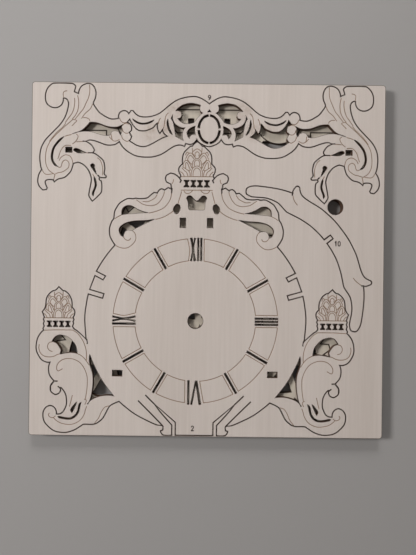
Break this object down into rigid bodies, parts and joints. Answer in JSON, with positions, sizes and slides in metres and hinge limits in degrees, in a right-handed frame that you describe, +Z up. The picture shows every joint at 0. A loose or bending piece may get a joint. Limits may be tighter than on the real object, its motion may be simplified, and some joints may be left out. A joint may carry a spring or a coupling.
{
  "type": "wooden gear clock kit",
  "caption": "Flat wooden gear clock kit: two laser-cut plywood sheets, one on the other, with the ornamental dial, crest and toothed wheels standing in their cuts.",
  "frame": {"origin": "bottom centre of the stack of two sheets, on the surface that it lies on", "axes": "+Z up through the sheets' thickness, +X to the dial's right, +Y towards the crest (twelve o'clock)"},
  "size_m": [0.2, 0.2, 0.0058],
  "materials": {
    "top_ply": "pale basswood plywood, laser-cut edges charred brown, scored lines brown",
    "lower_ply": "pale basswood plywood, laser-cut edges charred brown"
  },
  "bodies": {
    "lower_sheet_frame": {"lower_sheet_frame": "lower_ply"},
    "top_sheet_frame": {"top_sheet_frame": "top_ply"},
    "crest": {"crest": "top_ply"},
    "dial_plate": {"dial_plate": "top_ply"},
    "side_arm": {"side_arm": "top_ply"},
    "swag_waste": {"swag_waste": "top_ply"},
    "great_wheel": {"great_wheel": "lower_ply"},
    "minute_wheel": {"minute_wheel": "lower_ply"},
    "third_wheel": {"third_wheel": "lower_ply"},
    "hour_wheel": {"hour_wheel": "lower_ply"},
    "escape_wheel": {"escape_wheel": "lower_ply"},
    "ratchet_wheel": {"ratchet_wheel": "lower_ply"},
    "pinion_a": {"pinion_a": "lower_ply"},
    "pinion_b": {"pinion_b": "lower_ply"},
    "pinion_c": {"pinion_c": "lower_ply"},
    "drum_flange_left": {"drum_flange_left": "lower_ply"},
    "drum_flange_right": {"drum_flange_right": "lower_ply"},
    "spacer_left_out": {"spacer_left_out": "lower_ply"},
    "spacer_left_in": {"spacer_left_in": "lower_ply"},
    "spacer_right_in": {"spacer_right_in": "lower_ply"},
    "spacer_right_out": {"spacer_right_out": "lower_ply"},
    "back_bridge": {"back_bridge": "lower_ply"},
    "strut_left": {"strut_left": "lower_ply"},
    "strut_right": {"strut_right": "lower_ply"},
    "pendulum_bob": {"pendulum_bob": "lower_ply"},
    "pendulum_rod": {"pendulum_rod": "lower_ply"},
    "minute_hand": {"minute_hand": "lower_ply"},
    "hour_hand": {"hour_hand": "lower_ply"},
    "pallets": {"pallets": "lower_ply"},
    "click": {"click": "lower_ply"}
  },
  "joints": [
    {"name": "top_sheet_lift", "type": "slide", "parent": "lower_sheet_frame", "child": "top_sheet_frame", "axis": [0, 0, 1], "range_m": [0, 0.03]},
    {"name": "crest_lift", "type": "slide", "parent": "top_sheet_frame", "child": "crest", "axis": [0, 0, 1], "range_m": [0, 0.012]},
    {"name": "dial_plate_lift", "type": "slide", "parent": "top_sheet_frame", "child": "dial_plate", "axis": [0, 0, 1], "range_m": [0, 0.012]},
    {"name": "side_arm_lift", "type": "slide", "parent": "top_sheet_frame", "child": "side_arm", "axis": [0, 0, 1], "range_m": [0, 0.012]},
    {"name": "swag_waste_lift", "type": "slide", "parent": "top_sheet_frame", "child": "swag_waste", "axis": [0, 0, 1], "range_m": [0, 0.012]},
    {"name": "great_wheel_press_out", "type": "slide", "parent": "lower_sheet_frame", "child": "great_wheel", "axis": [0, 0, 1], "range_m": [-0.006, 0]},
    {"name": "minute_wheel_press_out", "type": "slide", "parent": "lower_sheet_frame", "child": "minute_wheel", "axis": [0, 0, 1], "range_m": [-0.006, 0]},
    {"name": "third_wheel_press_out", "type": "slide", "parent": "lower_sheet_frame", "child": "third_wheel", "axis": [0, 0, 1], "range_m": [-0.006, 0]},
    {"name": "hour_wheel_press_out", "type": "slide", "parent": "lower_sheet_frame", "child": "hour_wheel", "axis": [0, 0, 1], "range_m": [-0.006, 0]},
    {"name": "escape_wheel_press_out", "type": "slide", "parent": "lower_sheet_frame", "child": "escape_wheel", "axis": [0, 0, 1], "range_m": [-0.006, 0]},
    {"name": "ratchet_wheel_press_out", "type": "slide", "parent": "lower_sheet_frame", "child": "ratchet_wheel", "axis": [0, 0, 1], "range_m": [-0.006, 0]},
    {"name": "pinion_a_press_out", "type": "slide", "parent": "lower_sheet_frame", "child": "pinion_a", "axis": [0, 0, 1], "range_m": [-0.006, 0]},
    {"name": "pinion_b_press_out", "type": "slide", "parent": "lower_sheet_frame", "child": "pinion_b", "axis": [0, 0, 1], "range_m": [-0.006, 0]},
    {"name": "pinion_c_press_out", "type": "slide", "parent": "lower_sheet_frame", "child": "pinion_c", "axis": [0, 0, 1], "range_m": [-0.006, 0]},
    {"name": "drum_flange_left_press_out", "type": "slide", "parent": "lower_sheet_frame", "child": "drum_flange_left", "axis": [0, 0, 1], "range_m": [-0.006, 0]},
    {"name": "drum_flange_right_press_out", "type": "slide", "parent": "lower_sheet_frame", "child": "drum_flange_right", "axis": [0, 0, 1], "range_m": [-0.006, 0]},
    {"name": "spacer_left_out_press_out", "type": "slide", "parent": "lower_sheet_frame", "child": "spacer_left_out", "axis": [0, 0, 1], "range_m": [-0.006, 0]},
    {"name": "spacer_left_in_press_out", "type": "slide", "parent": "lower_sheet_frame", "child": "spacer_left_in", "axis": [0, 0, 1], "range_m": [-0.006, 0]},
    {"name": "spacer_right_in_press_out", "type": "slide", "parent": "lower_sheet_frame", "child": "spacer_right_in", "axis": [0, 0, 1], "range_m": [-0.006, 0]},
    {"name": "spacer_right_out_press_out", "type": "slide", "parent": "lower_sheet_frame", "child": "spacer_right_out", "axis": [0, 0, 1], "range_m": [-0.006, 0]},
    {"name": "back_bridge_press_out", "type": "slide", "parent": "lower_sheet_frame", "child": "back_bridge", "axis": [0, 0, 1], "range_m": [-0.006, 0]},
    {"name": "strut_left_press_out", "type": "slide", "parent": "lower_sheet_frame", "child": "strut_left", "axis": [0, 0, 1], "range_m": [-0.006, 0]},
    {"name": "strut_right_press_out", "type": "slide", "parent": "lower_sheet_frame", "child": "strut_right", "axis": [0, 0, 1], "range_m": [-0.006, 0]},
    {"name": "pendulum_bob_press_out", "type": "slide", "parent": "lower_sheet_frame", "child": "pendulum_bob", "axis": [0, 0, 1], "range_m": [-0.006, 0]},
    {"name": "pendulum_rod_press_out", "type": "slide", "parent": "lower_sheet_frame", "child": "pendulum_rod", "axis": [0, 0, 1], "range_m": [-0.006, 0]},
    {"name": "minute_hand_press_out", "type": "slide", "parent": "lower_sheet_frame", "child": "minute_hand", "axis": [0, 0, 1], "range_m": [-0.006, 0]},
    {"name": "hour_hand_press_out", "type": "slide", "parent": "lower_sheet_frame", "child": "hour_hand", "axis": [0, 0, 1], "range_m": [-0.006, 0]},
    {"name": "pallets_press_out", "type": "slide", "parent": "lower_sheet_frame", "child": "pallets", "axis": [0, 0, 1], "range_m": [-0.006, 0]},
    {"name": "click_press_out", "type": "slide", "parent": "lower_sheet_frame", "child": "click", "axis": [0, 0, 1], "range_m": [-0.006, 0]}
  ]
}
